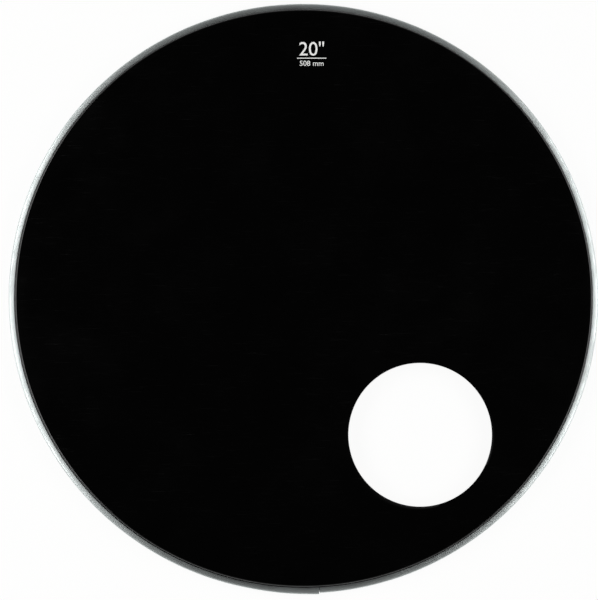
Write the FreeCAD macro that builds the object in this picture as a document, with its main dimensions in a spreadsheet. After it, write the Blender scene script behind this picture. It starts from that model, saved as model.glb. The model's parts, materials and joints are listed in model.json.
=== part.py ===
# A ported bass drum head: one sheet of film with a formed collar, whose hem is folded round a wire
# and locked inside an aluminium hoop that is rolled from strip and crimped shut over the wire.
#
# The head lies on its hoop with the playing side up. The origin is the middle of the hoop's
# underside and +Z is the drum's axis. Lengths are in millimetres. Angles are in degrees, and a
# place round the head is an angle clockwise from +X, seen from the playing side.
import FreeCAD
import Part
import math
import os
from collections import namedtuple

import Sketcher

SIZES = {
    # The drum shell that the head fits, and the hoop that goes round it
    "shell_diameter": 508.0,
    "shell_clearance": 0.7,
    "strip_thickness": 0.9,
    "hoop_height": 9.5,
    "crown_radius": 1.5,
    "inner_wall_drop": 2.0,
    "lip_gap": 0.4,
    # The joint in the hoop: its gap, the end that has sprung outwards and the splice behind it
    "seam_angle": 86.9,
    "seam_gap": 0.8,
    "sprung_angle": 17.5,
    "sprung_shift": 28.0,
    "splice_length": 50.0,
    "splice_thickness": 0.8,
    "splice_gap": 0.2,
    # The film, its collar and its hem
    "film_thickness": 0.25,
    "film_gap": 0.3,
    "collar_height": 10.0,
    "collar_draw": 1.0,
    "shoulder_radius": 1.0,
    "hem_height": 2.4,
    # The port that is cut in the film
    "port_diameter": 127.0,
    "port_margin": 31.3,
    "port_angle": 49.7,
    # The square wire inside the hem
    "wire_width": 2.4,
    "wire_gap": 0.3,
    "wire_end_gap": 3.0,
    "crown_gap": 0.3,
    # How far a cut runs past what it cuts
    "cut_overrun": 5.0,
}

# Radii that follow from the sizes, from the shell outwards
HOOP_INNER = "(sizes.shell_diameter / 2 + sizes.shell_clearance)"
INNER_WALL = f"({HOOP_INNER} + sizes.strip_thickness)"
FILM_INNER = f"({INNER_WALL} + sizes.film_gap)"
FILM_OUTER = f"({FILM_INNER} + sizes.film_thickness)"
LIP_EDGE = f"({FILM_OUTER} + sizes.lip_gap)"
WIRE_INNER = f"({FILM_OUTER} + sizes.wire_gap)"
WIRE_OUTER = f"({WIRE_INNER} + sizes.wire_width)"
HEM_INNER = f"({WIRE_OUTER} + sizes.wire_gap)"
HEM_OUTER = f"({HEM_INNER} + sizes.film_thickness)"
SPLICE_INNER = f"({HEM_OUTER} + sizes.splice_gap)"
SPLICE_OUTER = f"({SPLICE_INNER} + sizes.splice_thickness)"
OUTER_WALL = f"({SPLICE_OUTER} + sizes.splice_gap)"
HOOP_OUTER = f"({OUTER_WALL} + sizes.strip_thickness)"
SHOULDER_REACH = "(sizes.shoulder_radius + sizes.film_thickness)"
SHOULDER_RING = f"({FILM_OUTER} - sizes.collar_draw - {SHOULDER_REACH})"
PORT_OFFSET = f"({SHOULDER_RING} - sizes.port_margin - sizes.port_diameter / 2)"

# Levels that follow from the sizes, from the playing surface downwards
FILM_TOP = "(sizes.hoop_height + sizes.collar_height)"
SHOULDER_LEVEL = f"({FILM_TOP} - {SHOULDER_REACH})"
CROWN_UNDERSIDE = "(sizes.hoop_height - sizes.strip_thickness)"
RIM = "(sizes.hoop_height - sizes.inner_wall_drop)"
WIRE_TOP = f"({CROWN_UNDERSIDE} - sizes.crown_gap)"
WIRE_BOTTOM = f"({WIRE_TOP} - sizes.wire_width)"
FOLD_TOP = f"({WIRE_BOTTOM} - sizes.wire_gap)"
FOLD_BOTTOM = f"({FOLD_TOP} - sizes.film_thickness)"
HEM_END = f"({FOLD_BOTTOM} + sizes.hem_height)"

# An outline is drawn by travelling round its corners. A rounded corner has a radius, is placed by
# its arc's centre and has the side that the travel turns to. Places are expressions, or "0".
LEFT, RIGHT = 1, -1
Corner = namedtuple("Corner", "r z radius turn", defaults=(None, LEFT))

# Sketch geometry is named by index: a vertex of a piece, the sketch's origin and its two axes
START, FINISH, CENTRE = range(1, 4)
SKETCH_ORIGIN = (-1, 1)
LEVEL_AXIS, UPRIGHT_AXIS = range(-1, -3, -1)

doc = FreeCAD.newDocument("drum_head")


def make_sheet():
    """Puts the driving dimensions in a sheet, one row each, under their own names."""
    sheet = doc.addObject("Spreadsheet::Sheet", "sizes")
    for row, (alias, size) in enumerate(SIZES.items(), start=1):
        sheet.set(f"A{row}", alias)
        sheet.set(f"B{row}", str(size))
        sheet.setAlias(f"B{row}", alias)
    doc.recompute()
    return sheet


sizes = make_sheet()


def number(expression):
    """Value of an expression in the sheet's names."""
    return float(sizes.evalExpression(expression))


def turn_about(item, place, axis, angle):
    """Binds the turn of a placement about an axis to an expression."""
    turn = FreeCAD.Rotation(axis, number(angle))
    setattr(item, place, FreeCAD.Placement(FreeCAD.Vector(), turn))
    item.setExpression(f"{place}.Rotation.Angle", angle)


def new_body(label, clockwise=None):
    """A body with its own label, turned about the drum's axis where an angle is given."""
    body = doc.addObject("PartDesign::Body", label)
    body.Label = label
    if clockwise:
        turn_about(body, "Placement", FreeCAD.Vector(0, 0, -1), clockwise)
    return body


def new_sketch(body, name, role):
    """A sketch on one of its body's own origin planes."""
    sketch = body.newObject("Sketcher::SketchObject", name)
    plane = next(plane for plane in body.Origin.OriginFeatures if plane.Role == role)
    sketch.AttachmentSupport = (plane, "")
    sketch.MapMode = "FlatFace"
    return sketch


def constrain(sketch, kind, *where):
    """Adds a geometric constraint."""
    return sketch.addConstraint(Sketcher.Constraint(kind, *where))


def dimension(sketch, kind, where, expression):
    """Adds a dimension and binds it to an expression."""
    index = constrain(sketch, kind, *where, number(expression))
    sketch.setExpression(f"Constraints[{index}]", expression)


def point(r, z):
    """A point of a section, from its radius and its level."""
    return FreeCAD.Vector(r, z, 0)


def reach(corner):
    """Radius of a corner, positive where the travel turns left and zero where it isn't rounded."""
    return corner.turn * number(corner.radius) if corner.radius else 0


def run_heading(first, second):
    """Heading, in radians, of the straight run from one corner to the next, tangent to their arcs."""
    across = number(second.r) - number(first.r)
    up = number(second.z) - number(first.z)
    return math.atan2(up, across) - math.asin((reach(second) - reach(first)) / math.hypot(across, up))


def corner_point(corner, heading):
    """Point of a corner where the travel has a heading."""
    r = number(corner.r) + reach(corner) * math.sin(heading)
    return point(r, number(corner.z) - reach(corner) * math.cos(heading))


def place_vertex(sketch, item, vertex, corner):
    """Binds a vertex to a corner's radius and level. One that is zero lies on the sketch's axis."""
    for kind, axis, where in (("DistanceX", UPRIGHT_AXIS, corner.r), ("DistanceY", LEVEL_AXIS, corner.z)):
        if where == "0":
            constrain(sketch, "PointOnObject", item, vertex, axis)
        else:
            dimension(sketch, kind, (*SKETCH_ORIGIN, item, vertex), where)


def round_corner(sketch, corner, run_in, run_out, arrive, leave):
    """Draws a corner's arc between two runs that are tangent to it."""
    middle = point(number(corner.r), number(corner.z))
    circle = Part.Circle(middle, FreeCAD.Vector(0, 0, 1), number(corner.radius))
    headings, ends = [arrive, leave], [START, FINISH]
    if corner.turn == RIGHT:
        headings.reverse()
        ends.reverse()
    angles = [heading - corner.turn * math.pi / 2 for heading in headings]
    arc = sketch.addGeometry(Part.ArcOfCircle(circle, *angles))
    constrain(sketch, "Tangent", run_in, FINISH, arc, ends[0])
    constrain(sketch, "Tangent", arc, ends[1], run_out, START)
    dimension(sketch, "Radius", (arc,), corner.radius)
    place_vertex(sketch, arc, CENTRE, corner)


def draw_outline(sketch, corners):
    """Draws the closed outline that travels round its corners in order."""
    following = corners[1:] + corners[:1]
    leaving = [run_heading(*ends) for ends in zip(corners, following)]
    arriving = leaving[-1:] + leaving[:-1]
    starts = [corner_point(*start) for start in zip(corners, leaving)]
    finishes = [corner_point(*finish) for finish in zip(following, leaving)]
    runs_out = [sketch.addGeometry(Part.LineSegment(*ends)) for ends in zip(starts, finishes)]
    runs_in = runs_out[-1:] + runs_out[:-1]
    for corner, run_in, run_out, arrive, leave in zip(corners, runs_in, runs_out, arriving, leaving):
        if corner.radius:
            round_corner(sketch, corner, run_in, run_out, arrive, leave)
        else:
            constrain(sketch, "Coincident", run_in, FINISH, run_out, START)
            place_vertex(sketch, run_out, START, corner)


def rectangle(left, right, low, high):
    """Corners of a rectangle."""
    return [Corner(left, low), Corner(right, low), Corner(right, high), Corner(left, high)]


def revolve(body, name, sketch, angle, way=None, axis="V_Axis"):
    """Turns a section about an axis of its sketch, one way, the other ("Reversed") or both ("Midplane").

    The faces of neighbouring turns aren't merged.
    """
    turned = body.newObject("PartDesign::Revolution", name)
    turned.Profile = sketch
    turned.ReferenceAxis = (sketch, [axis])
    turned.setExpression("Angle", angle)
    turned.Refine = False
    if way:
        setattr(turned, way, True)
    return turned


def go_round(body, name, sketch, quarter):
    """Repeats a quarter turn round its sketch's upright axis. No rounded face then closes on itself."""
    pattern = body.newObject("PartDesign::PolarPattern", name)
    pattern.Originals = [quarter]
    pattern.Axis = (sketch, ["V_Axis"])
    pattern.Angle = 360
    pattern.Occurrences = 4
    pattern.Refine = False
    body.Tip = pattern


def cut_through(body, name, sketch):
    """Cuts a sketch's outline right through a body, both ways from its plane."""
    cut = body.newObject("PartDesign::Pocket", name)
    cut.Profile = sketch
    cut.SideType = "Symmetric"
    cut.Type = "ThroughAll"
    cut.Refine = False
    doc.recompute()
    if cut.Shape.Volume >= cut.BaseFeature.Shape.Volume:
        raise RuntimeError(f"{name} removes nothing")


def make_film():
    """The film: a playing surface, a collar and a hem folded round the wire, with the port cut in it."""
    body = new_body("film")
    section = new_sketch(body, "film_section", "XZ_Plane")
    underside = [
        Corner("0", f"({FILM_TOP} - sizes.film_thickness)"),
        Corner(SHOULDER_RING, SHOULDER_LEVEL, "sizes.shoulder_radius", RIGHT),
        Corner(FILM_INNER, FOLD_BOTTOM),
        Corner(HEM_OUTER, FOLD_BOTTOM),
        Corner(HEM_OUTER, HEM_END),
    ]
    topside = [
        Corner(HEM_INNER, HEM_END),
        Corner(HEM_INNER, FOLD_TOP),
        Corner(FILM_OUTER, FOLD_TOP),
        Corner(SHOULDER_RING, SHOULDER_LEVEL, SHOULDER_REACH, LEFT),
        Corner("0", FILM_TOP),
    ]
    draw_outline(section, underside + topside)
    go_round(body, "film_form", section, revolve(body, "film_quarter", section, "90"))

    outline = new_sketch(body, "port_outline", "XY_Plane")
    across, down = (f"{PORT_OFFSET} * {part}(sizes.port_angle)" for part in ("cos", "sin"))
    middle = FreeCAD.Vector(number(across), -number(down), 0)
    circle = Part.Circle(middle, FreeCAD.Vector(0, 0, 1), number("sizes.port_diameter / 2"))
    port = outline.addGeometry(circle)
    dimension(outline, "Diameter", (port,), "sizes.port_diameter")
    dimension(outline, "DistanceX", (*SKETCH_ORIGIN, port, CENTRE), across)
    dimension(outline, "DistanceY", (port, CENTRE, *SKETCH_ORIGIN), down)
    cut_through(body, "port", outline)
    return body


def hoop_section(body, name, corners):
    """A section of the hoop's strip, in the plane where the sprung end begins."""
    sketch = new_sketch(body, name, "XZ_Plane")
    turn_about(sketch, "AttachmentOffset", FreeCAD.Vector(0, -1, 0), "sizes.sprung_angle")
    draw_outline(sketch, corners)
    return sketch


def make_hoop():
    """The hoop: strip rolled into a ring with two walls, a foot and a crown crimped towards the film.

    One end's outer wall and crown have sprung outwards, bent round a centre behind the hoop's own.
    There the foot is in two leaves that lap, one with the inner wall and one with the outer.
    """
    body = new_body("hoop", "sizes.seam_angle")
    inner_wall = [
        Corner(INNER_WALL, "sizes.strip_thickness"),
        Corner(INNER_WALL, RIM),
        Corner(HOOP_INNER, RIM),
        Corner(HOOP_INNER, "0"),
    ]
    crown_ring = f"({HOOP_OUTER} - sizes.crown_radius)"
    outer_wall = [
        Corner(HOOP_OUTER, "0"),
        Corner(crown_ring, "(sizes.hoop_height - sizes.crown_radius)", "sizes.crown_radius", LEFT),
        Corner(LIP_EDGE, "sizes.hoop_height"),
        Corner(LIP_EDGE, CROWN_UNDERSIDE),
        Corner(OUTER_WALL, CROWN_UNDERSIDE),
        Corner(OUTER_WALL, "sizes.strip_thickness"),
    ]
    inner_leaf = f"({OUTER_WALL} - sizes.strip_thickness)"
    outer_leaf = f"({INNER_WALL} + sizes.strip_thickness)"
    inner_foot = [Corner(inner_leaf, "0"), Corner(inner_leaf, "sizes.strip_thickness")]
    outer_foot = [Corner(outer_leaf, "sizes.strip_thickness"), Corner(outer_leaf, "0")]

    ring = hoop_section(body, "ring_section", inner_wall + outer_wall)
    revolve(body, "ring", ring, "360 - sizes.sprung_angle", "Reversed")
    inner_end = hoop_section(body, "inner_end_section", inner_wall + inner_foot)
    revolve(body, "inner_end", inner_end, "sizes.sprung_angle")

    sprung = hoop_section(body, "sprung_end_section", outer_foot + outer_wall)
    foot, top = (point(-number("sizes.sprung_shift"), up) for up in (0, number("sizes.hoop_height")))
    centre_line = sprung.addGeometry(Part.LineSegment(foot, top), True)
    constrain(sprung, "Vertical", centre_line)
    dimension(sprung, "DistanceX", (centre_line, START, *SKETCH_ORIGIN), "sizes.sprung_shift")
    constrain(sprung, "PointOnObject", centre_line, START, LEVEL_AXIS)
    dimension(sprung, "DistanceY", (centre_line, START, centre_line, FINISH), "sizes.hoop_height")
    lag = f"asin(sizes.sprung_shift * sin(sizes.sprung_angle) / ({HOOP_OUTER} + sizes.sprung_shift))"
    revolve(body, "sprung_end", sprung, f"sizes.sprung_angle * 1 deg - {lag}", axis="Axis0")

    slot = new_sketch(body, "seam_outline", "XY_Plane")
    near, far = f"({HOOP_INNER} - sizes.cut_overrun)", f"({HOOP_OUTER} + sizes.cut_overrun)"
    draw_outline(slot, rectangle(near, far, "(-sizes.seam_gap / 2)", "(sizes.seam_gap / 2)"))
    cut_through(body, "seam", slot)
    return body


def make_lock_wire():
    """The wire that the hem is folded round: a square ring, cut opposite the hoop's seam."""
    body = new_body("lock_wire", "sizes.seam_angle")
    section = new_sketch(body, "wire_section", "XZ_Plane")
    draw_outline(section, rectangle(WIRE_INNER, WIRE_OUTER, WIRE_BOTTOM, WIRE_TOP))
    cut = f"sizes.wire_end_gap / {WIRE_OUTER} * 180 / pi"
    revolve(body, "wire_ring", section, f"360 - {cut}", "Midplane")
    return body


def make_splice():
    """The splice: a curved plate behind the hoop's outer wall that bridges the seam."""
    body = new_body("hoop_splice", "sizes.seam_angle")
    section = new_sketch(body, "splice_section", "XZ_Plane")
    low = "(sizes.strip_thickness + sizes.splice_gap)"
    high = f"({CROWN_UNDERSIDE} - sizes.splice_gap)"
    draw_outline(section, rectangle(SPLICE_INNER, SPLICE_OUTER, low, high))
    span = f"sizes.splice_length / {SPLICE_OUTER} * 180 / pi"
    revolve(body, "splice_plate", section, span, "Midplane")
    return body


def check_model(pieces):
    """Stops the build if an object failed, a sketch is loose or a piece has no sound solid."""
    doc.recompute()
    for item in doc.Objects:
        if {"Invalid", "Error"} & set(item.State):
            raise RuntimeError(f"{item.Label} failed: {item.State}")
        if item.TypeId == "Sketcher::SketchObject" and not item.FullyConstrained:
            raise RuntimeError(f"{item.Label} isn't fully constrained")
    for piece in pieces:
        shape = piece.Shape
        if shape.isNull() or not shape.isValid() or len(shape.Solids) != 1:
            raise RuntimeError(f"{piece.Label} has no sound solid")


pieces = [make_film(), make_hoop(), make_lock_wire(), make_splice()]
check_model(pieces)
os.makedirs("parts", exist_ok=True)
for piece in pieces:
    piece.Shape.exportStep(f"parts/{piece.Label}.step")
    box = piece.Shape.optimalBoundingBox(False)
    levels = f"z {box.ZMin:.2f} to {box.ZMax:.2f}"
    print(f"{piece.Label}: {piece.Shape.Volume:.0f} mm3, {levels}, x to {box.XMax:.2f}")
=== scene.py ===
"""Dresses a ported bass drum head: its black film, its crimped hoop, and the wire and splice inside."""

import json
import math
from collections import namedtuple

import bmesh
import bpy
from bpy.props import FloatProperty, FloatVectorProperty, IntProperty, PointerProperty, StringProperty
from mathutils import Matrix, Vector
from mathutils.bvhtree import BVHTree


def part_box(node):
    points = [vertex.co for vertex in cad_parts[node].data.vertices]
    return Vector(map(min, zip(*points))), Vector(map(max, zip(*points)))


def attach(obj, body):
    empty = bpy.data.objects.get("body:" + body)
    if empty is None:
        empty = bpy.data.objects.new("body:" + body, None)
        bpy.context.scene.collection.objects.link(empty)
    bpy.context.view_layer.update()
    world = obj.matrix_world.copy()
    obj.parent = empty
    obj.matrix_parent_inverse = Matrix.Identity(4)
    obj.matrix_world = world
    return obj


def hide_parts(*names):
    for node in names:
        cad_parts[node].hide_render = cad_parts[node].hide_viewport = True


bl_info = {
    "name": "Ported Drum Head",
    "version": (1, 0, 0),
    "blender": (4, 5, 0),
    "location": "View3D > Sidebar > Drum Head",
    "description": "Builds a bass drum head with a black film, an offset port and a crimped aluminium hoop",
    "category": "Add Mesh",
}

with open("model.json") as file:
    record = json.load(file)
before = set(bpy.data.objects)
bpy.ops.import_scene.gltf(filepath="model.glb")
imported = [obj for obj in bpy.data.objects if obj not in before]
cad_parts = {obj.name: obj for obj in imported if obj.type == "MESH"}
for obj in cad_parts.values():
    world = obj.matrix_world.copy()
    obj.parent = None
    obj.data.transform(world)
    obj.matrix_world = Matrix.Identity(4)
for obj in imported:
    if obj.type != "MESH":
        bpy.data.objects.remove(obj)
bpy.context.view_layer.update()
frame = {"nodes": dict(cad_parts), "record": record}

MM = 0.001
BODY = "root"
MOUNTS = {mount["name"]: mount for mount in frame["record"]["mounts"]}
HOOP_INNER = MOUNTS["shell_bore"]["dims"]["r_mm"] * MM
PORT_RADIUS = MOUNTS["port"]["dims"]["r_mm"] * MM
PORT_PLACE = MOUNTS["port"]["pos_m"]
FILM_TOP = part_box("film")[1].z
FILM_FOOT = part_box("film")[0].z
HOOP_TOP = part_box("hoop")[1].z
HOOP_OUTER = min(*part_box("hoop")[1].xy, -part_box("hoop")[0].x)
WIRE_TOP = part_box("lock_wire")[1].z

# The largest turn between neighbouring points of a bend, the steps round a sheet's broken edge and along
# a letter's curve, the angle past which an edge shows sharp, and the distance at which points are one
BEND_STEP = math.radians(12)
EDGE_STEPS = 4
LETTER_STEPS = 12
SHARP_ANGLE = math.radians(40)
WELD_DISTANCE = 0.001 * MM

# A corner of a bent sheet's middle line, with the radius that it is bent to there and the largest distance
# between points on the run that leaves it. By default it is sharp, and the run has points at its ends only.
NO_BEND, ANY_LENGTH = 0.0, 1000 * MM
Corner = namedtuple("Corner", "r z bend spacing", defaults=(NO_BEND, ANY_LENGTH))

# A point of that middle line: its radius and level, the heading of the line, half the sheet's thickness
# there and the length of line before it
Station = namedtuple("Station", "r z heading half run")


def linear(hex_colour):
    """Turns an sRGB hex colour into linear red, green, blue and a full alpha."""
    channels = [int(hex_colour[at:at + 2], 16) / 255 for at in (1, 3, 5)]
    return (*(c / 12.92 if c <= 0.04045 else ((c + 0.055) / 1.055) ** 2.4 for c in channels), 1.0)


def length_property(name, description, millimetres):
    """A length that a user can change, from its default in millimetres."""
    return FloatProperty(
        name=name, description=description, default=millimetres * MM, unit="LENGTH", precision=5
    )


def angle_property(name, description, degrees):
    """An angle that a user can change, from its default in degrees."""
    return FloatProperty(name=name, description=description, default=math.radians(degrees), subtype="ANGLE")


def level_property(name, description, level):
    """A brightness that a user can change, where 1 is a white surface in full light."""
    return FloatProperty(name=name, description=description, default=level, min=0)


def colour_property(name, description, hex_colour):
    """A colour that a user can change, from its default as sRGB hex."""
    return FloatVectorProperty(
        name=name, description=description, default=linear(hex_colour), size=4, min=0, max=1,
        subtype="COLOR",
    )


class FilmSettings(bpy.types.PropertyGroup):
    """Sizes and colours of the film."""

    thickness: length_property("Thickness", "Thickness of the film", 0.25)
    shoulder_bend: length_property("Shoulder Bend", "Radius of the film's middle at the shoulder", 1.1)
    collar_top: length_property("Collar Top", "Radius where the flat and the collar would meet", 255.45)
    collar_foot: length_property("Collar Foot", "Radius of the collar's middle at the fold", 256.025)
    hem_radius: length_property("Hem Radius", "Radius of the hem's middle outside the wire", 259.275)
    hem_height: length_property("Hem Height", "Height of the hem above the fold", 2.4)
    fold_bend: length_property("Fold Bend", "Radius of the film's middle at the two folds", 0.35)
    port_edge: length_property("Port Edge", "Rounding that the cutter leaves on the port's edge", 0.06)
    flute_depth: length_property("Flute Depth", "How far the forming gathers the collar in and out", 0.09)
    flute_spacing: length_property("Flute Spacing", "Distance from one gather to the next", 9.0)
    slack_depth: length_property("Slack Depth", "How far the slack film dips between its edges", 0.35)
    slack_length: length_property("Slack Length", "Width of one dip of the slack film", 130.0)
    flat_spacing: length_property("Flat Spacing", "Largest distance between rings of the flat", 12.0)
    collar_spacing: length_property("Collar Spacing", "Largest distance between rings of the collar", 1.2)
    steps: IntProperty(name="Steps", description="Facets in one turn", default=720, min=90, max=1440)
    colour: colour_property("Colour", "Black of the film", "#020202")
    # The cut edge's paler grey is a painted sheen on the same black film
    cut_sheen_colour: colour_property("Cut Colour", "Matt grey of the film's cut edge", "#1d1d1f")


class HoopSettings(bpy.types.PropertyGroup):
    """Sizes and colours of the hoop."""

    strip_thickness: length_property("Strip Thickness", "Thickness of the aluminium strip", 0.9)
    foot_bend: length_property("Foot Bend", "Radius of the strip's middle at the two foot bends", 0.8)
    crown_bend: length_property("Crown Bend", "Radius of the strip's middle at the crown", 1.3)
    crest_bend: length_property("Crest Bend", "Radius of the strip's middle over the crest", 8.0)
    crest_radius: length_property("Crest Radius", "Radius of the highest line of the crown", 258.6)
    crown_fall: length_property("Crown Fall", "How far the crown falls from its crest outwards", 0.3)
    lip_fall: length_property("Lip Fall", "How far the crown falls from its crest to its lip", 0.25)
    strip_edge: length_property("Strip Edge", "Rounding of the strip's two long edges", 0.3)
    rim_drop: length_property("Rim Drop", "How far the inner wall stops below the crown", 2.0)
    lip_radius: length_property("Lip Radius", "Radius of the crown's free edge beside the film", 256.5)
    seam_gap: length_property("Seam Gap", "Gap between the hoop's two ends", 0.9)
    seam_angle: angle_property("Seam Angle", "Place of the seam, anticlockwise from the right", -86.9)
    sprung_angle: angle_property("Sprung Angle", "How much of the hoop has sprung outwards", 17.5)
    sprung_rise: length_property("Sprung Rise", "How far the sprung end stands out at the seam", 1.12)
    steps: IntProperty(name="Steps", description="Facets in one turn", default=720, min=90, max=1440)
    colour: colour_property("Colour", "Bright aluminium", "#eaf0ef")
    dull_colour: colour_property("Dull Colour", "Aluminium under a thin oxide bloom", "#dae1e0")
    # The splice's two tones are darker than bare aluminium: painted shade for the gap under the seam
    shaded_splice_colour: colour_property("Splice Colour", "Bare face of the splice", "#83898a")
    shaded_splice_dull_colour: colour_property("Splice Dull Colour", "The splice under its bloom", "#6f7576")
    # The wire's two zinc tones are darkened as painted shade for the shadow inside the hoop; the crystal
    # mottle between them is the plating's own
    shaded_wire_colour: colour_property("Wire Colour", "Zinc plating on the wire", "#6b7176")
    shaded_wire_edge_colour: colour_property("Wire Edge Colour", "Paler edges of its crystals", "#8d9296")


class MarkSettings(bpy.types.PropertyGroup):
    """Words, sizes and colour of the printed size mark."""

    size_words: StringProperty(name="Size", description="Shell diameter that the head fits", default='20"')
    metric_words: StringProperty(name="Metric Size", description="In millimetres", default="508 mm")
    size_height: length_property("Size Height", "Height of the large figures", 12.5)
    metric_height: length_property("Metric Height", "Height of the small figures", 4.6)
    rule_width: length_property("Rule Width", "Width of the rule between them", 26.0)
    rule_height: length_property("Rule Height", "Height of the rule", 0.7)
    line_gap: length_property("Line Gap", "Space above and below the rule", 1.9)
    place_across: length_property("Place Across", "Middle of the mark, to the right of the axis", 6.9)
    place_up: length_property("Place Up", "Middle of the mark, above the axis", 216.3)
    ink_thickness: length_property("Ink Thickness", "Thickness of the printed ink", 0.03)
    colour: colour_property("Colour", "White ink", "#ececea")


class StageSettings(bpy.types.PropertyGroup):
    """Floor, light and camera."""

    floor_width: length_property("Floor Width", "Side of the square floor", 40000)
    floor_gap: length_property("Floor Gap", "Distance of the floor below the hoop's foot", 0.05)
    floor_colour: colour_property("Floor Colour", "Pale floor", "#f3f3f1")
    white_share: FloatProperty(
        name="White Share", description="Share of plain white in the floor as it is seen",
        default=0.92, min=0, max=1, subtype="FACTOR",
    )
    panel_distance: length_property("Panel Distance", "From the head to the middle of a side panel", 1400)
    panel_lean: angle_property("Panel Lean", "Angle of a side panel's middle from straight up", 38)
    panel_width: length_property("Panel Width", "Width of a side panel, level with the floor", 1400)
    panel_height: length_property("Panel Height", "Height of a side panel", 750)
    left_radiance: level_property("Left Radiance", "Brightness of the left panel", 3.7)
    right_radiance: level_property("Right Radiance", "Brightness of the right panel", 3.1)
    horizon: level_property("Horizon", "Brightness of the room near the horizon", 0.2)
    walls: level_property("Walls", "Brightness of the room's walls", 0.26)
    overhead: level_property("Overhead", "Brightness of the room straight above", 0.005)
    view_width: length_property("View Width", "Width of the picture at the film", 529.2)
    camera_height: length_property("Camera Height", "From the film up to the camera", 6000)
    camera_across: length_property("Camera Across", "Place of the camera, to the right of the axis", -104)
    camera_up: length_property("Camera Up", "Place of the camera, above the axis", -212)
    aim_across: length_property("Aim Across", "Middle of the picture, to the right of the axis", -4.3)
    aim_up: length_property("Aim Up", "Middle of the picture, above the axis", -2.1)


# Kinds of node that the trees use often, and the two sockets of a Mix of colours
MATH, VECTOR_MATH = "ShaderNodeMath", "ShaderNodeVectorMath"
NOISE, MAP_RANGE, MIX = "ShaderNodeTexNoise", "ShaderNodeMapRange", "ShaderNodeMix"
STORE, STORED = "GeometryNodeStoreNamedAttribute", "GeometryNodeInputNamedAttribute"
FIRST_COLOUR, SECOND_COLOUR = 6, 7


def add_node(tree, kind, sockets=None, **settings):
    """Adds a node with its settings, and gives each of its sockets a value or a link.

    A link comes from a socket, or from the first output that a node has in use.
    """
    node = tree.nodes.new(kind)
    for name, setting in settings.items():
        setattr(node, name, setting)
    for key, source in (sockets or {}).items():
        if isinstance(source, bpy.types.Node):
            source = next(output for output in source.outputs if output.enabled)
        if isinstance(source, bpy.types.NodeSocket):
            tree.links.new(source, node.inputs[key])
        else:
            node.inputs[key].default_value = source
    return node


def new_material(name):
    """A material with an empty node tree, and that tree."""
    material = bpy.data.materials.new(name)
    material.use_nodes = True
    material.node_tree.nodes.clear()
    return material, material.node_tree


def film_material(settings):
    """Polyester film, dyed black and cast smooth: a deep clear gloss with a faint haze from handling.

    Thin scuffs cross it two ways. The cutter leaves the port's edge matt, and the paler grey there is a
    painted sheen.
    """
    # Real scuffs are far finer, and are drawn this wide so that they show
    haze_width, scuff_width, scuff_length = 45 * MM, 0.35 * MM, 30 * MM
    scuff_headings = (math.radians(24), math.radians(-61))
    clear, hazy, scuffed, matt = 0.07, 0.12, 0.12, 0.55
    # Where the haze and the scuffs set in on their noise, and the cut edge on the way to the port
    haze_from, haze_to = 0.35, 0.7
    scuff_from, scuff_to = 0.66, 0.74
    cut_from, cut_to = 0.9985, 0.9995
    material, tree = new_material("black_polyester_film_cast_gloss")
    place = add_node(tree, "ShaderNodeTexCoord").outputs["Object"]
    haze = add_node(tree, NOISE, {"Vector": place, "Scale": 1 / haze_width, "Detail": 3.0})
    roughness = add_node(
        tree, MAP_RANGE,
        {"Value": haze, "From Min": haze_from, "From Max": haze_to, "To Min": clear, "To Max": hazy},
    )
    stretch = (1 / scuff_length, 1 / scuff_width, 1)
    for heading in scuff_headings:
        lines = add_node(
            tree, "ShaderNodeMapping", {"Vector": place, "Rotation": (0, 0, heading), "Scale": stretch}
        )
        scuffs = add_node(tree, NOISE, {"Vector": lines, "Scale": 1.0})
        added = add_node(
            tree, MAP_RANGE,
            {"Value": scuffs, "From Min": scuff_from, "From Max": scuff_to, "To Max": scuffed},
        )
        roughness = add_node(tree, MATH, {0: roughness, 1: added}, operation="ADD")

    nearness = add_node(tree, "ShaderNodeAttribute", attribute_name="port_share").outputs["Fac"]
    cut = add_node(tree, MAP_RANGE, {"Value": nearness, "From Min": cut_from, "From Max": cut_to})
    # Paler grey on the cut edge: a painted sheen; the matt roughness below is the edge's own
    colour = add_node(
        tree, MIX, {"Factor": cut, FIRST_COLOUR: settings.colour, SECOND_COLOUR: settings.cut_sheen_colour},
        data_type="RGBA",
    )
    roughness = add_node(
        tree, MATH, {0: roughness, 1: add_node(tree, MATH, {0: cut, 1: matt}, operation="MULTIPLY")},
        operation="MAXIMUM",
    )
    shader = add_node(
        tree, "ShaderNodeBsdfPrincipled", {"Base Color": colour, "Roughness": roughness, "IOR": 1.57}
    )
    add_node(tree, "ShaderNodeOutputMaterial", {"Surface": shader})
    return material


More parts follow.
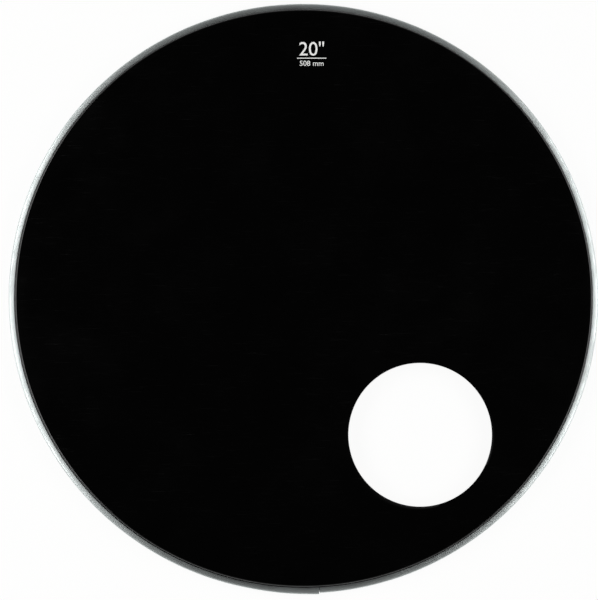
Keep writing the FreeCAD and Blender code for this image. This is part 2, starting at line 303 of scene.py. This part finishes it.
def aluminium_material(name, colour, dull_colour, roughness, anisotropy):
    """Aluminium strip as it leaves the rolls: a grey mirror drawn out across fine lines that run along it.

    A thin oxide bloom dulls it in streaks between those lines.
    """
    # Real rolling lines are far finer, and are drawn this far apart so that they show
    line_spacing, line_length, line_depth, bloom_width = 0.4 * MM, 60 * MM, 0.02 * MM, 18 * MM
    # Where the bloom sets in on the sum of both noises, how far it changes the roughness each way, and the
    # turn that lays the drawn-out mirror across the lines
    bloom_from, bloom_to = 0.8, 1.2
    spread = 0.06
    quarter_turn = 0.25
    material, tree = new_material(name)
    place = add_node(tree, "ShaderNodeTexCoord").outputs["Object"]
    ring = add_node(tree, VECTOR_MATH, {0: place, 1: (1, 1, 0)}, operation="MULTIPLY")
    radius = add_node(tree, VECTOR_MATH, {0: ring}, operation="LENGTH")
    across = add_node(tree, MATH, {0: radius.outputs["Value"], 1: line_spacing}, operation="DIVIDE")
    stretch = (1 / line_length, 1 / line_length, 1 / line_spacing)
    along = add_node(tree, VECTOR_MATH, {0: place, 1: stretch}, operation="MULTIPLY")
    lines = add_node(
        tree, NOISE, {"Vector": along, "W": across, "Scale": 1.0, "Detail": 2.0}, noise_dimensions="4D"
    )
    bump = add_node(tree, "ShaderNodeBump", {"Height": lines, "Strength": 0.4, "Distance": line_depth})
    bloom = add_node(tree, NOISE, {"Vector": place, "Scale": 1 / bloom_width, "Detail": 4.0})
    streaks = add_node(tree, MATH, {0: lines, 1: bloom}, operation="ADD")
    dull = add_node(tree, MAP_RANGE, {"Value": streaks, "From Min": bloom_from, "From Max": bloom_to})
    tone = add_node(
        tree, MIX, {"Factor": dull, FIRST_COLOUR: colour, SECOND_COLOUR: dull_colour}, data_type="RGBA"
    )
    duller = add_node(
        tree, MAP_RANGE, {"Value": dull, "To Min": roughness - spread, "To Max": roughness + spread}
    )
    shader = add_node(tree, "ShaderNodeBsdfPrincipled", {
        "Base Color": tone, "Roughness": duller, "Normal": bump, "Metallic": 1.0,
        "Anisotropic": anisotropy, "Anisotropic Rotation": quarter_turn,
    })
    add_node(tree, "ShaderNodeOutputMaterial", {"Surface": shader})
    return material


def wire_material(settings):
    """Steel wire with a bright zinc plating: a cool soft grey with a fine crystal mottle, both tones
    darkened as painted shade for the shadow inside the hoop.
    """
    # Real crystals are finer, and are drawn this wide so that they show
    crystal_width, crystal_depth = 1.2 * MM, 0.003 * MM
    smooth, rough = 0.28, 0.42
    material, tree = new_material("steel_wire_zinc_plated_painted_shade")
    place = add_node(tree, "ShaderNodeTexCoord").outputs["Object"]
    crystals = add_node(tree, "ShaderNodeTexVoronoi", {"Vector": place, "Scale": 1 / crystal_width})
    tone = add_node(
        tree, MIX,
        {"Factor": crystals, FIRST_COLOUR: settings.shaded_wire_colour, SECOND_COLOUR: settings.shaded_wire_edge_colour},
        data_type="RGBA",
    )
    roughness = add_node(tree, MAP_RANGE, {"Value": crystals, "To Min": smooth, "To Max": rough})
    bump = add_node(
        tree, "ShaderNodeBump", {"Height": crystals, "Strength": 0.3, "Distance": crystal_depth}
    )
    shader = add_node(
        tree, "ShaderNodeBsdfPrincipled",
        {"Base Color": tone, "Roughness": roughness, "Normal": bump, "Metallic": 1.0},
    )
    add_node(tree, "ShaderNodeOutputMaterial", {"Surface": shader})
    return material


def ink_material(settings):
    """Screen-printed vinyl ink: an even matt white with the faint grain of the screen."""
    # A real screen's mesh is finer, and its grain is drawn this wide so that it shows
    mesh_spacing, grain_depth = 0.5 * MM, 0.01 * MM
    # Where the grain thins the ink on its noise, and how much of the white is left there
    grain_from, grain_to = 0.3, 0.7
    thin_cover = 0.94
    material, tree = new_material("white_vinyl_ink_screen_printed")
    place = add_node(tree, "ShaderNodeTexCoord").outputs["Object"]
    grain = add_node(tree, NOISE, {"Vector": place, "Scale": 1 / mesh_spacing, "Detail": 2.0})
    cover = add_node(
        tree, MAP_RANGE,
        {"Value": grain, "From Min": grain_from, "From Max": grain_to, "To Min": thin_cover},
    )
    colour = add_node(
        tree, MIX, {"Factor": cover, FIRST_COLOUR: (0, 0, 0, 1), SECOND_COLOUR: settings.colour},
        data_type="RGBA",
    )
    bump = add_node(tree, "ShaderNodeBump", {"Height": grain, "Strength": 0.3, "Distance": grain_depth})
    shader = add_node(
        tree, "ShaderNodeBsdfPrincipled", {"Base Color": colour, "Roughness": 0.6, "Normal": bump}
    )
    add_node(tree, "ShaderNodeOutputMaterial", {"Surface": shader})
    return material


def floor_material(settings):
    """Pale matt floor that is seen mostly as plain white, with its own light and shade under that."""
    material, tree = new_material("pale_studio_floor")
    shader = add_node(
        tree, "ShaderNodeBsdfPrincipled", {"Base Color": settings.floor_colour, "Roughness": 0.9}
    )
    white = add_node(tree, "ShaderNodeEmission", {"Color": (1, 1, 1, 1), "Strength": 1.0})
    path = add_node(tree, "ShaderNodeLightPath").outputs
    seen = path["Is Camera Ray"]
    for ray in ("Is Glossy Ray", "Is Transmission Ray"):
        seen = add_node(tree, MATH, {0: seen, 1: path[ray]}, operation="MAXIMUM")
    share = add_node(tree, MATH, {0: seen, 1: settings.white_share}, operation="MULTIPLY")
    mixed = add_node(tree, "ShaderNodeMixShader", {"Fac": share, 1: shader, 2: white})
    add_node(tree, "ShaderNodeOutputMaterial", {"Surface": mixed})
    return material


def bent_line(corners, half):
    """Stations along the middle line of a sheet that is straight between its bends."""
    headings = [math.atan2(end.z - start.z, end.r - start.r) for start, end in zip(corners, corners[1:])]
    turns = [math.remainder(after - before, math.tau) for before, after in zip(headings, headings[1:])]
    places = []
    skipped = 0.0
    for start, end, heading, turn in zip(corners, corners[1:], headings, [*turns, 0.0]):
        # The straight run, from the bend before it to the bend after it
        cut = end.bend * math.tan(abs(turn) / 2)
        length = math.hypot(end.r - start.r, end.z - start.z) - skipped - cut
        pieces = max(1, math.ceil(length / start.spacing))
        for step in range(pieces + 1):
            along = skipped + length * step / pieces
            r, z = start.r + along * math.cos(heading), start.z + along * math.sin(heading)
            places.append((r, z, heading))

        # The points round the bend, between its two ends
        inward = heading + math.copysign(math.pi / 2, turn)
        bend_r = places[-1][0] + end.bend * math.cos(inward)
        bend_z = places[-1][1] + end.bend * math.sin(inward)
        bends = math.ceil(abs(turn) / BEND_STEP)
        for step in range(1, bends):
            turned = turn * step / bends
            places.append((
                bend_r - end.bend * math.cos(inward + turned),
                bend_z - end.bend * math.sin(inward + turned),
                heading + turned,
            ))
        skipped = cut

    stations, run = [], 0.0
    for before, place in zip(places[:1] + places, places):
        run += math.dist(before[:2], place[:2])
        stations.append(Station(*place, half, run))
    return stations


def broken_edges(stations, edge):
    """The same stations with the sheet's two ends thinned to a rounded edge."""
    def rounded(tip, back):
        """Stations from a tip into the sheet, where back is 1 along the line and -1 against it."""
        caps = []
        for step in range(EDGE_STEPS + 1):
            angle = math.pi / 2 * step / EDGE_STEPS
            inset = back * edge * (1 - math.cos(angle))
            caps.append(tip._replace(
                r=tip.r + inset * math.cos(tip.heading), z=tip.z + inset * math.sin(tip.heading),
                half=tip.half - edge * (1 - math.sin(angle)), run=tip.run + inset,
            ))
        return caps

    return rounded(stations[0], 1) + stations[1:-1] + rounded(stations[-1], -1)[::-1]


def section_mesh(name, stations, shares):
    """A closed outline round a sheet's section, with its shares as attributes of its points."""
    both = [(station, side) for side in (1, -1) for station in stations[::side]]
    points = [
        (at.r - side * at.half * math.sin(at.heading), 0, at.z + side * at.half * math.cos(at.heading))
        for at, side in both
    ]
    edges = [(index, (index + 1) % len(points)) for index in range(len(points))]
    mesh = bpy.data.meshes.new(name)
    mesh.from_pydata(points, edges, [])
    for share, rule in shares.items():
        attribute = mesh.attributes.new(share, "FLOAT", "POINT")
        attribute.data.foreach_set("value", [rule(station) for station, side in both])
    return mesh


def between(value, low, high):
    """How far a value lies from low to high, from 0 to 1."""
    return min(1.0, max(0.0, (value - low) / (high - low)))


TURN_INPUTS = {
    "Section": "NodeSocketGeometry",
    "Steps": "NodeSocketInt",
    "Start Angle": "NodeSocketFloat",
    "Sweep Angle": "NodeSocketFloat",
    "Fill Ends": "NodeSocketBool",
    "Port Centre": "NodeSocketVector",
    "Sprung Angle": "NodeSocketFloat",
    "Sprung Rise": "NodeSocketFloat",
    "Flute Depth": "NodeSocketFloat",
    "Flute Spacing": "NodeSocketFloat",
    "Slack Depth": "NodeSocketFloat",
    "Slack Length": "NodeSocketFloat",
    "Seed": "NodeSocketFloat",
    "Material": "NodeSocketMaterial",
}
TURN_ATTRIBUTES = {
    "section": "FLOAT_VECTOR",
    "turn": "FLOAT",
    "port_share": "FLOAT",
    "flute_share": "FLOAT",
    "slack_share": "FLOAT",
    "sprung_share": "FLOAT",
}

# Stands in for a size that a piece has no use for, because the tree divides by it
UNUSED = 1.0

# The middle of a noise's range, the seed of the film's noise, and the power of the way along the sprung end
# by which it leaves the circle
NOISE_MIDDLE = 0.5
FILM_SEED = 4.0
SPRUNG_POWER = 2.0


def turned_section_tree():
    """Node tree that turns a section round the drum's axis.

    Shares on the section's points say how much each one moves to the port's circle, gathers in the
    collar's flutes, dips with the slack film or stands out with the sprung end.
    """
    tree = bpy.data.node_groups.new("turned_section", "GeometryNodeTree")
    for name, kind in TURN_INPUTS.items():
        tree.interface.new_socket(name, in_out="INPUT", socket_type=kind)
    tree.interface.new_socket("Piece", in_out="OUTPUT", socket_type="NodeSocketGeometry")
    given = add_node(tree, "NodeGroupInput").outputs
    stored = {
        name: add_node(tree, STORED, {"Name": name}, data_type=kind)
        for name, kind in TURN_ATTRIBUTES.items()
    }

    # The section as a curve, and the path as an arc whose points know their turn
    section = add_node(tree, "GeometryNodeMeshToCurve", {"Mesh": given["Section"]})
    place = add_node(tree, "GeometryNodeInputPosition")
    section = add_node(
        tree, STORE, {"Geometry": section, "Name": "section", "Value": place}, data_type="FLOAT_VECTOR"
    )
    points = add_node(tree, MATH, {0: given["Steps"], 1: 1.0}, operation="ADD")
    sweep = given["Sweep Angle"]
    arc = add_node(tree, "GeometryNodeCurveArc", {"Resolution": points, "Sweep Angle": sweep})
    index = add_node(tree, "GeometryNodeInputIndex")
    progress = add_node(tree, MATH, {0: index, 1: given["Steps"]}, operation="DIVIDE")
    turn = add_node(
        tree, MATH, {0: progress, 1: sweep, 2: given["Start Angle"]}, operation="MULTIPLY_ADD"
    )
    path = add_node(tree, STORE, {"Geometry": arc, "Name": "turn", "Value": turn}, data_type="FLOAT")
    swept = add_node(
        tree, "GeometryNodeCurveToMesh",
        {"Curve": path, "Profile Curve": section, "Fill Caps": given["Fill Ends"]},
    )

    # Radius of each point, with the sprung end and the flutes
    flat = add_node(tree, "ShaderNodeSeparateXYZ", {"Vector": stored["section"]}).outputs
    outward = add_node(
        tree, "ShaderNodeVectorRotate", {"Vector": (1, 0, 0), "Angle": stored["turn"]},
        rotation_type="Z_AXIS",
    )
    finish = add_node(tree, MATH, {0: given["Start Angle"], 1: sweep}, operation="ADD")
    ahead = add_node(tree, MATH, {0: finish, 1: stored["turn"]}, operation="SUBTRACT")
    ahead = add_node(tree, MATH, {0: ahead, 1: given["Sprung Angle"]}, operation="DIVIDE")
    sprung = add_node(tree, MATH, {0: 1.0, 1: ahead}, operation="SUBTRACT", use_clamp=True)
    sprung = add_node(tree, MATH, {0: sprung, 1: SPRUNG_POWER}, operation="POWER")
    rise = add_node(tree, MATH, {0: sprung, 1: given["Sprung Rise"]}, operation="MULTIPLY")
    reach = add_node(
        tree, MATH, {0: rise, 1: stored["sprung_share"], 2: flat["X"]}, operation="MULTIPLY_ADD"
    )
    unfluted = add_node(tree, VECTOR_MATH, {0: outward, "Scale": flat["X"]}, operation="SCALE")
    density = add_node(tree, MATH, {0: 1.0, 1: given["Flute Spacing"]}, operation="DIVIDE")
    flutes = add_node(
        tree, NOISE, {"Vector": unfluted, "W": given["Seed"], "Scale": density, "Detail": 1.0},
        noise_dimensions="4D",
    )
    flute = add_node(tree, MATH, {0: flutes, 1: NOISE_MIDDLE}, operation="SUBTRACT")
    flute = add_node(tree, MATH, {0: flute, 1: given["Flute Depth"]}, operation="MULTIPLY")
    reach = add_node(tree, MATH, {0: flute, 1: stored["flute_share"], 2: reach}, operation="MULTIPLY_ADD")

    # Place of each point, with the port's circle and the slack
    ring = add_node(tree, VECTOR_MATH, {0: outward, "Scale": reach}, operation="SCALE")
    shift = add_node(
        tree, VECTOR_MATH, {0: given["Port Centre"], "Scale": stored["port_share"]}, operation="SCALE"
    )
    plan = add_node(tree, VECTOR_MATH, {0: ring, 1: shift}, operation="ADD")
    density = add_node(tree, MATH, {0: 1.0, 1: given["Slack Length"]}, operation="DIVIDE")
    dips = add_node(
        tree, NOISE, {"Vector": plan, "W": given["Seed"], "Scale": density, "Detail": 0.0},
        noise_dimensions="4D",
    )
    slack = add_node(tree, MATH, {0: dips, 1: given["Slack Depth"]}, operation="MULTIPLY")
    slack = add_node(tree, MATH, {0: slack, 1: stored["slack_share"]}, operation="MULTIPLY")
    height = add_node(tree, MATH, {0: flat["Z"], 1: slack}, operation="SUBTRACT")
    lift = add_node(tree, "ShaderNodeCombineXYZ", {"Z": height})
    placed = add_node(tree, VECTOR_MATH, {0: plan, 1: lift}, operation="ADD")
    piece = add_node(tree, "GeometryNodeSetPosition", {"Geometry": swept, "Position": placed})
    piece = add_node(tree, "GeometryNodeMergeByDistance", {"Geometry": piece, "Distance": WELD_DISTANCE})
    piece = add_node(tree, "GeometryNodeSetShadeSmooth", {"Geometry": piece})
    piece = add_node(tree, "GeometryNodeRealizeInstances", {"Geometry": piece})
    piece = add_node(tree, "GeometryNodeSetMaterial", {"Geometry": piece, "Material": given["Material"]})
    add_node(tree, "NodeGroupOutput", {"Piece": piece})
    return tree


def add_piece(name, mesh, node=None):
    """Puts a finished mesh in the scene as a piece, and in a node's place where one is given."""
    piece = bpy.data.objects.new(name, mesh)
    bpy.context.scene.collection.objects.link(piece)
    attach(piece, BODY)
    if node:
        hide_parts(node)


def turned_mesh(name, section, inputs, kept=()):
    """Turns a section with the node tree, as a plain mesh that keeps only the attributes named."""
    tree = bpy.data.node_groups.get("turned_section") or turned_section_tree()
    blank = bpy.data.objects.new(name, section)
    bpy.context.scene.collection.objects.link(blank)
    modifier = blank.modifiers.new("turned_section", "NODES")
    modifier.node_group = tree
    identifiers = {
        item.name: item.identifier for item in tree.interface.items_tree if item.in_out == "INPUT"
    }
    for socket, value in inputs.items():
        modifier[identifiers[socket]] = value
    graph = bpy.context.evaluated_depsgraph_get()
    mesh = bpy.data.meshes.new_from_object(blank.evaluated_get(graph), depsgraph=graph)
    bpy.data.objects.remove(blank)
    bpy.data.meshes.remove(section)
    mesh.name = name
    for helper in TURN_ATTRIBUTES:
        if helper in mesh.attributes and helper not in kept:
            mesh.attributes.remove(mesh.attributes[helper])
    work = bmesh.new()
    work.from_mesh(mesh)
    bmesh.ops.recalc_face_normals(work, faces=work.faces)
    loose = [edge for edge in work.edges if not edge.is_manifold]
    work.to_mesh(mesh)
    work.free()
    if loose or not mesh.polygons:
        raise RuntimeError(f"{name} has {len(loose)} open edges and {len(mesh.polygons)} faces")
    mesh.set_sharp_from_angle(angle=SHARP_ANGLE)
    return mesh


def text_mesh(words, height):
    """Flat lettering of a given height as a mesh, centred on the origin."""
    curve = bpy.data.curves.new("lettering", "FONT")
    curve.body = words
    curve.resolution_u = LETTER_STEPS
    blank = bpy.data.objects.new("lettering", curve)
    mesh = bpy.data.meshes.new_from_object(blank)
    bpy.data.objects.remove(blank)
    low, high = (Vector(map(rule, *(vertex.co for vertex in mesh.vertices))) for rule in (min, max))
    scale = height / (high.y - low.y)
    mesh.transform(Matrix.Scale(scale, 4) @ Matrix.Translation(-(low + high) / 2))
    return mesh


def ink_mesh(name, flats, film, thickness):
    """Flat shapes laid on the film's upper side and given the thickness of ink."""
    work = bmesh.new()
    for flat, place in flats:
        flat.transform(Matrix.Translation(place))
        work.from_mesh(flat)
        bpy.data.meshes.remove(flat)
    bmesh.ops.remove_doubles(work, verts=work.verts, dist=WELD_DISTANCE)
    for face in work.faces:
        if face.normal.z < 0:
            face.normal_flip()
    surface = BVHTree.FromPolygons(
        [vertex.co for vertex in film.vertices], [polygon.vertices for polygon in film.polygons]
    )
    down, above = Vector((0, 0, -1)), 2 * FILM_TOP
    for vertex in work.verts:
        vertex.co.z = surface.ray_cast(Vector((*vertex.co.xy, above)), down)[0].z

    # An under side, an upper side and a wall along each open edge, in the same order on every run
    work.verts.index_update()
    count = len(work.verts)
    lower = [vertex.co.copy() for vertex in work.verts]
    upper = [point + Vector((0, 0, thickness)) for point in lower]
    faces = [[vertex.index for vertex in face.verts] for face in work.faces]
    open_loops = [edge.link_loops[0] for edge in work.edges if edge.is_boundary]
    walls = [(loop.vert.index, loop.link_loop_next.vert.index) for loop in open_loops]
    work.free()
    mesh = bpy.data.meshes.new(name)
    mesh.from_pydata(lower + upper, [], [
        *(face[::-1] for face in faces),
        *([index + count for index in face] for face in faces),
        *((start, end, end + count, start + count) for start, end in walls),
    ])
    return mesh


class DRUMHEAD_OT_film(bpy.types.Operator):
    """Make the film with its port, shoulder, collar and folded hem"""

    bl_idname = "drum_head.film"
    bl_label = "Film"

    def execute(self, context):
        size = context.scene.drum_head_film
        half = size.thickness / 2
        top = FILM_TOP - context.scene.drum_head_mark.ink_thickness - half
        fold = FILM_FOOT + half
        line = bent_line([
            Corner(PORT_RADIUS, top, spacing=size.flat_spacing),
            Corner(size.collar_top, top, size.shoulder_bend, size.collar_spacing),
            Corner(size.collar_foot, fold, size.fold_bend),
            Corner(size.hem_radius, fold, size.fold_bend),
            Corner(size.hem_radius, FILM_FOOT + size.hem_height),
        ], half)
        flat_edge = max(station.r for station in line if station.heading == 0 and station.z == top)

        def port_share(station):
            """All at the port, whose ring lies round its own centre, and none at the flat's outer edge."""
            return between(station.r, flat_edge, PORT_RADIUS) if station.z > HOOP_TOP else 0.0

        def slack_share(station):
            """Most halfway across the flat, and none at its two edges."""
            return math.sin(math.pi * port_share(station)) if station.heading == 0 else 0.0

        def flute_share(station):
            """Most halfway up the collar, and none at the wire or the shoulder's top."""
            way_up = between(station.z, WIRE_TOP, top)
            return math.sin(math.pi * way_up) ** 2 if station.r > flat_edge else 0.0

        section = section_mesh("film_section", broken_edges(line, size.port_edge), {
            "port_share": port_share, "slack_share": slack_share, "flute_share": flute_share,
        })
        # The noise goes half its range in and half out, so the range is twice the depth of the flutes
        mesh = turned_mesh("film_skin", section, {
            "Steps": size.steps, "Sweep Angle": math.tau, "Port Centre": (*PORT_PLACE[:2], 0.0),
            "Flute Depth": 2 * size.flute_depth, "Flute Spacing": size.flute_spacing,
            "Slack Depth": size.slack_depth, "Slack Length": size.slack_length,
            "Sprung Angle": UNUSED, "Seed": FILM_SEED, "Material": film_material(size),
        }, kept=("port_share",))
        add_piece("film_skin", mesh, "film")
        return {"FINISHED"}


class DRUMHEAD_OT_hoop(bpy.types.Operator):
    """Make the hoop, rolled from strip, with its crimped crown and its sprung joint"""

    bl_idname = "drum_head.hoop"
    bl_label = "Hoop"

    def execute(self, context):
        size = context.scene.drum_head_hoop
        half = size.strip_thickness / 2
        inner, outer = HOOP_INNER + half, HOOP_OUTER - half
        line = bent_line([
            Corner(inner, HOOP_TOP - size.rim_drop),
            Corner(inner, half, size.foot_bend),
            Corner(outer, half, size.foot_bend),
            Corner(outer, HOOP_TOP - half - size.crown_fall, size.crown_bend),
            Corner(size.crest_radius, HOOP_TOP - half, size.crest_bend),
            Corner(size.lip_radius, HOOP_TOP - half - size.lip_fall),
        ], half)
        # Lengths along the strip: down the inner wall, across the foot, up to the lip and to the crown
        wall = HOOP_TOP - size.rim_drop - half
        foot = outer - inner
        lip = line[-1].run
        crown = lip - (outer - size.lip_radius)

        def sprung_share(station):
            """All on the outer wall, and none on the inner wall or at the lip."""
            return between(station.run, wall, wall + foot) - between(station.run, crown, lip)

        outline = broken_edges(line, size.strip_edge)
        section = section_mesh("hoop_section", outline, {"sprung_share": sprung_share})
        gap = size.seam_gap / HOOP_OUTER
        mesh = turned_mesh("hoop_channel", section, {
            "Steps": size.steps, "Start Angle": size.seam_angle + gap / 2, "Sweep Angle": math.tau - gap,
            "Fill Ends": True, "Sprung Angle": size.sprung_angle, "Sprung Rise": size.sprung_rise,
            "Flute Spacing": UNUSED, "Slack Length": UNUSED,
            "Material": aluminium_material(
                "aluminium_strip_mill_finish", size.colour, size.dull_colour,
                roughness=0.44, anisotropy=0.85,
            ),
        })
        add_piece("hoop_channel", mesh, "hoop")
        return {"FINISHED"}


class DRUMHEAD_OT_inner_metal(bpy.types.Operator):
    """Finish the lock wire and the splice that lie inside the hoop"""

    bl_idname = "drum_head.inner_metal"
    bl_label = "Wire and Splice"

    def execute(self, context):
        size = context.scene.drum_head_hoop
        finishes = {
            # The wire's zinc tones are darkened as painted shade for the shadow inside the hoop
            "lock_wire": wire_material(size),
            # The splice's colours are darkened below bare aluminium as painted shade, so the gap under the
            # seam reads dark
            "hoop_splice": aluminium_material(
                "aluminium_plate_sheared_painted_shade", size.shaded_splice_colour, size.shaded_splice_dull_colour,
                roughness=0.5, anisotropy=0.3,
            ),
        }
        for node, material in finishes.items():
            materials = frame["nodes"][node].data.materials
            materials.clear()
            materials.append(material)
        return {"FINISHED"}


class DRUMHEAD_OT_size_mark(bpy.types.Operator):
    """Print the size mark on the film"""

    bl_idname = "drum_head.size_mark"
    bl_label = "Size Mark"

    def execute(self, context):
        size = context.scene.drum_head_mark
        rule = bpy.data.meshes.new("rule")
        side, edge = size.rule_width / 2, size.rule_height / 2
        corners = [(-side, -edge, 0), (side, -edge, 0), (side, edge, 0), (-side, edge, 0)]
        rule.from_pydata(corners, [], [(0, 1, 2, 3)])
        lines = [
            (text_mesh(size.size_words, size.size_height), size.size_height),
            (rule, size.rule_height),
            (text_mesh(size.metric_words, size.metric_height), size.metric_height),
        ]
        total = sum(height for line, height in lines) + size.line_gap * (len(lines) - 1)
        flats, up = [], size.place_up + total / 2
        for line, height in lines:
            flats.append((line, Vector((size.place_across, up - height / 2, 0))))
            up -= height + size.line_gap
        film = bpy.data.objects["film_skin"].data
        mesh = ink_mesh("size_mark", flats, film, size.ink_thickness)
        mesh.materials.append(ink_material(size))
        add_piece("size_mark", mesh)
        return {"FINISHED"}


class DRUMHEAD_OT_stage(bpy.types.Operator):
    """Set out the floor, the light and the camera"""

    bl_idname = "drum_head.stage"
    bl_label = "Stage"

    def execute(self, context):
        size = context.scene.drum_head_stage
        context.scene.view_settings.view_transform = "Standard"
        self.add_floor(context, size)
        self.add_room(context, size)
        self.add_panel(context, size, "left_panel", -1, size.left_radiance)
        self.add_panel(context, size, "right_panel", 1, size.right_radiance)
        self.add_camera(context, size)
        return {"FINISHED"}

    def add_floor(self, context, size):
        """A wide floor just under the hoop's foot."""
        half, level = size.floor_width / 2, -size.floor_gap
        mesh = bpy.data.meshes.new("floor")
        corners = [(-half, -half, level), (half, -half, level), (half, half, level), (-half, half, level)]
        mesh.from_pydata(corners, [], [(0, 1, 2, 3)])
        mesh.materials.append(floor_material(size))
        floor = bpy.data.objects.new("floor", mesh)
        context.scene.collection.objects.link(floor)

    def add_room(self, context, size):
        """A room with softly lit walls and a dark ceiling, the same all round."""
        world = bpy.data.worlds.new("room")
        world.use_nodes = True
        tree = world.node_tree
        tree.nodes.clear()
        heading = add_node(tree, "ShaderNodeTexCoord").outputs["Generated"]
        height = add_node(tree, "ShaderNodeSeparateXYZ", {"Vector": heading}).outputs["Z"]
        ramp = add_node(tree, "ShaderNodeValToRGB", {"Fac": height})
        # Elevations in degrees, each with the brightness there
        horizon_end, walls_low, walls_high, ceiling_start = 10, 28, 66, 80
        stops = (
            (horizon_end, size.horizon), (walls_low, size.walls),
            (walls_high, size.walls), (ceiling_start, size.overhead),
        )
        while len(ramp.color_ramp.elements) < len(stops):
            ramp.color_ramp.elements.new(1.0)
        for element, (elevation, tone) in zip(ramp.color_ramp.elements, stops):
            element.position = math.sin(math.radians(elevation))
            element.color = (tone, tone, tone, 1)
        background = add_node(tree, "ShaderNodeBackground", {"Color": ramp, "Strength": 1.0})
        add_node(tree, "ShaderNodeOutputWorld", {"Surface": background})
        context.scene.world = world

    def add_panel(self, context, size, name, side, radiance):
        """A large soft panel above one side of the head, facing it."""
        lamp = bpy.data.lights.new(name, "AREA")
        lamp.shape = "RECTANGLE"
        lamp.size, lamp.size_y = size.panel_width, size.panel_height
        lamp.energy = math.pi * size.panel_width * size.panel_height * radiance
        panel = bpy.data.objects.new(name, lamp)
        away = Vector((side * math.sin(size.panel_lean), 0, math.cos(size.panel_lean)))
        panel.location = away * size.panel_distance
        panel.rotation_mode = "QUATERNION"
        panel.rotation_quaternion = (-away).to_track_quat("-Z", "Y")
        panel.visible_camera = False
        context.scene.collection.objects.link(panel)

    def add_camera(self, context, size):
        """A camera far above the head, leaning a little, with the drum's +Y up in the picture."""
        eye = Vector((size.camera_across, size.camera_up, FILM_TOP + size.camera_height))
        aim = Vector((size.aim_across, size.aim_up, FILM_TOP))
        back = (eye - aim).normalized()
        right = Vector((0, 1, 0)).cross(back).normalized()
        lens = bpy.data.cameras.new("camera")
        lens.sensor_fit = "HORIZONTAL"
        lens.lens = lens.sensor_width * (eye - aim).length / size.view_width
        camera = bpy.data.objects.new("camera", lens)
        turn = Matrix((right, back.cross(right), back)).transposed().to_4x4()
        camera.matrix_world = Matrix.Translation(eye) @ turn
        context.scene.collection.objects.link(camera)
        context.scene.camera = camera


class DRUMHEAD_PT_panel(bpy.types.Panel):
    """Lists the pieces of the drum head and their sizes"""

    bl_idname = "DRUMHEAD_PT_panel"
    bl_label = "Drum Head"
    bl_space_type = "VIEW_3D"
    bl_region_type = "UI"
    bl_category = "Drum Head"

    def draw(self, context):
        for operators, group in PANEL_ROWS:
            box = self.layout.box()
            for operator in operators:
                box.operator(operator.bl_idname)
            settings = getattr(context.scene, group)
            for name in settings.bl_rna.properties.keys():
                if name not in {"rna_type", "name"}:
                    box.prop(settings, name)


SETTINGS = {
    "drum_head_film": FilmSettings,
    "drum_head_hoop": HoopSettings,
    "drum_head_mark": MarkSettings,
    "drum_head_stage": StageSettings,
}
PANEL_ROWS = (
    ((DRUMHEAD_OT_film,), "drum_head_film"),
    ((DRUMHEAD_OT_hoop, DRUMHEAD_OT_inner_metal), "drum_head_hoop"),
    ((DRUMHEAD_OT_size_mark,), "drum_head_mark"),
    ((DRUMHEAD_OT_stage,), "drum_head_stage"),
)
OPERATORS = [operator for operators, group in PANEL_ROWS for operator in operators]
CLASSES = (*SETTINGS.values(), *OPERATORS, DRUMHEAD_PT_panel)


def register():
    for item in CLASSES:
        bpy.utils.register_class(item)
    for name, group in SETTINGS.items():
        setattr(bpy.types.Scene, name, PointerProperty(type=group))


def unregister():
    for name in SETTINGS:
        delattr(bpy.types.Scene, name)
    for item in reversed(CLASSES):
        bpy.utils.unregister_class(item)


def main():
    """Makes every piece and the stage."""
    register()
    bpy.ops.drum_head.film()
    bpy.ops.drum_head.hoop()
    bpy.ops.drum_head.inner_metal()
    bpy.ops.drum_head.size_mark()
    bpy.ops.drum_head.stage()


if __name__ == "__main__":
    main()
